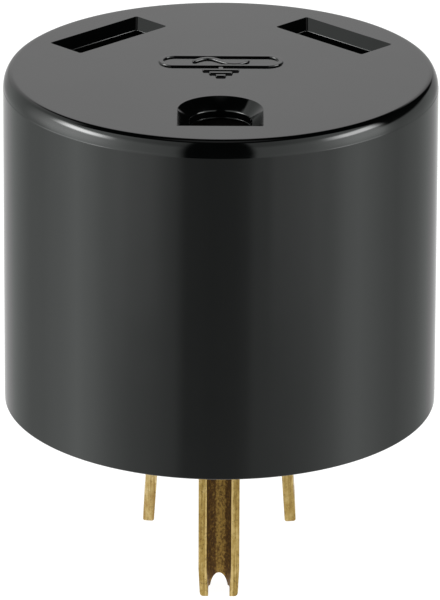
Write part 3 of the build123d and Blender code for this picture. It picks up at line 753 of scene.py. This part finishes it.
# Soft panels: azimuths and elevations where each fades in and out, and its brightness
PANELS = (((-104, -84, -76, -56), (15, 20, 26, 31), 13.0),
          ((54, 72, 84, 98), (15, 20, 27, 32), 7.5),
          ((-125, -96, -72, -45), (-20, 4, 16, 34), 1.0),
          ((45, 70, 88, 98), (-20, 4, 16, 34), 0.8),
          ((-66, -52, -38, -24), (-21.8, -20.3, -14, -10), 0.28),
          ((24, 30, 50, 60), (-21.8, -20.3, -14, -10), 0.18),
          ((-21, -17, 15, 19), (-70, -60, -24, -22), 0.08),
          ((-200, -190, 190, 200), (70, 84, 190, 200), 0.3))
WALL_TOP_SCALE = 90
WALL_TOP_FADE = 0.08

# Where the walls change. Four places: the change starts, is full, starts to fade, has faded.
# Two places: it starts, and is full from there on.
SIDE_WALLS = (-110, -94, 88, 104)
FRONT_GAP = (-24, -18, 16, 20)
LIFT_HEIGHTS = (-19.5, -13, 22, 36)
LIFT = 0.6
DARK_FRONT = (-21, -17, 15, 19)
DARK_FRONT_FROM = (-19.5, -14)
DARK_CORNER = (88, 98, 152, 162)
DARK_CORNER_FROM = (6, 12)
DARK_CORNER_DEPTH = 0.99
NOT_BACK = (-150, -138, 138, 150)
LOW_BACK = (-17, -12, 7, 13)
LOW_BACK_DEPTH = 0.2
GREEN_WALLS = (-150, -140, 140, 150)
GREEN_CAST = (0.955, 1.0, 0.978, 1)


def band(tree, value, low, low_full, high_full, high):
    rise = smooth_step(tree, value, math.radians(low), math.radians(low_full))
    fall = smooth_step(tree, value, math.radians(high_full), math.radians(high), 1.0, 0.0)
    return combine(tree, "MULTIPLY", rise, fall)


def soft_panel(tree, azimuth, elevation, azimuths, elevations, brightness):
    panel = combine(tree, "MULTIPLY", band(tree, azimuth, *azimuths), band(tree, elevation, *elevations))
    return combine(tree, "MULTIPLY", panel, brightness)


def upper_lift(tree, azimuth, elevation):
    """The walls at the sides are brighter just above the table's edge."""
    sides = combine(tree, "MULTIPLY", band(tree, azimuth, *SIDE_WALLS),
                    combine(tree, "SUBTRACT", 1.0, band(tree, azimuth, *FRONT_GAP)))
    lift = combine(tree, "MULTIPLY", sides, band(tree, elevation, *LIFT_HEIGHTS))
    return combine(tree, "ADD", combine(tree, "MULTIPLY", lift, LIFT), 1.0)


def top_limit(tree, azimuth, elevation):
    """Where the pale walls end."""
    limit = round_table(tree, azimuth, WALL_TOP, WALL_TOP_SCALE)
    above = combine(tree, "SUBTRACT", combine(tree, "MULTIPLY", elevation, 2 / math.pi), limit)
    return smooth_step(tree, above, 0.0, WALL_TOP_FADE, 1.0, 0.0)


def dark_ahead(tree, azimuth, elevation):
    """Nothing pale stands ahead, behind the camera, above the table's edge."""
    ahead = combine(tree, "MULTIPLY", band(tree, azimuth, *DARK_FRONT),
                    smooth_step(tree, elevation, *map(math.radians, DARK_FRONT_FROM)))
    return combine(tree, "SUBTRACT", 1.0, ahead)


def dark_corner(tree, azimuth, elevation):
    """A dark corner, high behind the right shoulder of the object."""
    corner = combine(tree, "MULTIPLY", band(tree, azimuth, *DARK_CORNER),
                     smooth_step(tree, elevation, *map(math.radians, DARK_CORNER_FROM)))
    return combine(tree, "SUBTRACT", 1.0, combine(tree, "MULTIPLY", corner, DARK_CORNER_DEPTH))


def dim_low_back(tree, azimuth, elevation):
    """The back wall is dimmer near the table."""
    back = combine(tree, "SUBTRACT", 1.0, band(tree, azimuth, *NOT_BACK))
    low = combine(tree, "MULTIPLY", back, band(tree, elevation, *LOW_BACK))
    return combine(tree, "SUBTRACT", 1.0, combine(tree, "MULTIPLY", low, LOW_BACK_DEPTH))


def round_table(tree, azimuth, table, scale):
    """Looks a level up in a table of (azimuth, level) pairs; scale keeps levels between 0 and 1."""
    inputs = {"Value": azimuth, "From Min": -math.pi, "From Max": math.pi}
    turn = add(tree, "ShaderNodeMapRange", inputs).outputs[0]
    stops = [((degrees + 180) / 360, (level / scale,) * 3) for degrees, level in table]
    return colour_ramp(tree, turn, stops)


def green_cast(tree, azimuth, light):
    """The walls in front and at the sides have a faint green cast."""
    near = band(tree, azimuth, *GREEN_WALLS)
    cast = mixed_colour(tree, near, (1, 1, 1, 1), GREEN_CAST)
    return add(tree, "ShaderNodeVectorMath", {0: light, 1: cast}, operation="MULTIPLY").outputs[0]


def studio_light():
    """Soft light: a ring of pale walls, dark in front and in one corner, and soft panels round the object."""
    world = bpy.data.worlds.new("studio")
    world.use_nodes = True
    tree = world.node_tree
    tree.nodes.clear()
    direction = add(tree, "ShaderNodeTexCoord").outputs["Generated"]
    parts = add(tree, "ShaderNodeSeparateXYZ", {0: direction}).outputs
    azimuth = combine(tree, "ARCTAN2", parts["X"], combine(tree, "MULTIPLY", parts["Y"], -1.0))
    elevation = combine(tree, "ARCSINE", parts["Z"])
    ring = combine(tree, "MULTIPLY", round_table(tree, azimuth, RING, RING_SCALE), RING_SCALE)
    for shade in (upper_lift, top_limit, dark_ahead, dark_corner, dim_low_back):
        ring = combine(tree, "MULTIPLY", ring, shade(tree, azimuth, elevation))
    light = green_cast(tree, azimuth, ring)
    for panel in PANELS:
        soft = soft_panel(tree, azimuth, elevation, *panel)
        light = add(tree, "ShaderNodeVectorMath", {0: light, 1: soft}, operation="ADD").outputs[0]
    studio = add(tree, "ShaderNodeBackground", {"Color": light}).outputs[0]
    paper = add(tree, "ShaderNodeBackground", {"Color": (1, 1, 1, 1), "Strength": 1.0}).outputs[0]
    camera_ray = add(tree, "ShaderNodeLightPath").outputs["Is Camera Ray"]
    mixed = add(tree, "ShaderNodeMixShader", {0: camera_ray, 1: studio, 2: paper}).outputs[0]
    add(tree, "ShaderNodeOutputWorld", {"Surface": mixed})
    bpy.context.scene.world = world


FLOOR_HALF_SIZE = 3.0
FLOOR_DROP = 0.02
FLOOR_COLOUR = (0.25, 0.25, 0.25, 1)
FLOOR_GLOW = 0.97
PAD_RADIUS = 0.055
PAD_FADE = 1.08


def floor():
    """Plain pale floor just under the prongs' tips. Only what is near the object shows in its gloss."""
    low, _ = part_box("ground_pin")
    z = low.z - FLOOR_DROP * MM
    corners = [(x * FLOOR_HALF_SIZE, y * FLOOR_HALF_SIZE, z) for x, y in ((-1, -1), (1, -1), (1, 1), (-1, 1))]
    data = bpy.data.meshes.new("floor")
    data.from_pydata(corners, [], [(0, 1, 2, 3)])
    piece = bpy.data.objects.new("floor", data)
    bpy.context.scene.collection.objects.link(piece)
    made = bpy.data.materials.new("floor")
    made.use_nodes = True
    tree = made.node_tree
    tree.nodes.clear()
    place = add(tree, "ShaderNodeTexCoord").outputs["Object"]
    distance = add(tree, "ShaderNodeVectorMath", {0: place}, operation="LENGTH").outputs["Value"]
    path = add(tree, "ShaderNodeLightPath").outputs
    clear = add(tree, "ShaderNodeBsdfTransparent").outputs[0]
    paint = add(tree, "ShaderNodeBsdfDiffuse", {"Color": FLOOR_COLOUR}).outputs[0]
    glow = add(tree, "ShaderNodeEmission", {"Strength": FLOOR_GLOW}).outputs[0]
    seen = add(tree, "ShaderNodeAddShader", {0: paint, 1: glow}).outputs[0]
    far = smooth_step(tree, distance, PAD_RADIUS, PAD_RADIUS * PAD_FADE)
    hidden = combine(tree, "MULTIPLY", path["Is Glossy Ray"], far)
    hidden = combine(tree, "MAXIMUM", hidden, add(tree, "ShaderNodeNewGeometry").outputs["Backfacing"])
    mixed = add(tree, "ShaderNodeMixShader", {0: hidden, 1: seen, 2: clear}).outputs[0]
    add(tree, "ShaderNodeOutputMaterial", {"Surface": mixed})
    data.materials.append(made)


def camera():
    """A long lens at the photograph's angle, aimed a little under the middle of the housing."""
    elevation = math.radians(CAMERA_ELEVATION)
    azimuth = math.radians(CAMERA_AZIMUTH)
    back = Vector((math.sin(azimuth) * math.cos(elevation), -math.cos(azimuth) * math.cos(elevation),
                   math.sin(elevation)))
    place = Vector((0, 0, CAMERA_TARGET_Z)) + back * CAMERA_DISTANCE
    aim = (Vector((0, 0, CAMERA_AIM_Z)) - place).to_track_quat("-Z", "Y").to_matrix().to_4x4()
    data = bpy.data.cameras.new("camera")
    data.sensor_fit = "VERTICAL"
    data.sensor_height = SENSOR
    data.lens = LENS
    data.clip_start = CLIP_START
    data.clip_end = CLIP_END
    piece = bpy.data.objects.new("camera", data)
    roll = Matrix.Rotation(math.radians(CAMERA_ROLL), 4, "Z")
    piece.matrix_world = Matrix.Translation(place * MM) @ aim @ roll
    bpy.context.scene.collection.objects.link(piece)
    bpy.context.scene.camera = piece


# Object

EDGE_ROUNDING = {"hot_blade": 0.07, "neutral_blade": 0.07, "ground_pin": 0.06, "plug_base": 0.08,
                 "base_screws": 0.06}
WELD_DISTANCE = 1e-6
FLAT_ANGLE = 0.5
SHARP_ANGLE = 32
EDGE_STEPS = 2


def soften(node, width):
    """Rounds a CAD node's sharp edges a little; its own mesh stays as it is."""
    node.modifiers.new("weld", "WELD").merge_threshold = WELD_DISTANCE
    merge = node.modifiers.new("merge_flat_faces", "DECIMATE")
    merge.decimate_type = "DISSOLVE"
    merge.angle_limit = math.radians(FLAT_ANGLE)
    bevel = node.modifiers.new("rounded_edges", "BEVEL")
    bevel.width = width * MM
    bevel.segments = EDGE_STEPS
    bevel.limit_method = "ANGLE"
    bevel.angle_limit = math.radians(SHARP_ANGLE)
    node.modifiers.new("flat_faces_stay_flat", "WEIGHTED_NORMAL").weight = FLAT_FACE_WEIGHT


def dress(frame_nodes):
    """Puts a material on every CAD node and rounds the edges of those that show outside."""
    materials = finishes()
    for node in frame_nodes.values():
        for slot in node.material_slots:
            slot.material = materials[slot.material.name]
    for name, width in EDGE_ROUNDING.items():
        soften(frame_nodes[name], width)
    moulding = housing()
    moulding.data.materials.append(materials["body_plastic"])
    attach(moulding, "adapter")
    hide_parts("housing")


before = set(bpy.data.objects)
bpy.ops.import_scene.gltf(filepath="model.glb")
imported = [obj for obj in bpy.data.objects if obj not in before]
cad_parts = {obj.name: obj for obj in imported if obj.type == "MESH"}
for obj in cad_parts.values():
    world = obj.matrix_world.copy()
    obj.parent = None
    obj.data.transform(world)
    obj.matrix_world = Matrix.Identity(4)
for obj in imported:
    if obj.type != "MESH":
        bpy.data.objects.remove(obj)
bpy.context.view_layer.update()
dress(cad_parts)
floor()
studio_light()
camera()
bpy.context.scene.view_settings.view_transform = "Standard"
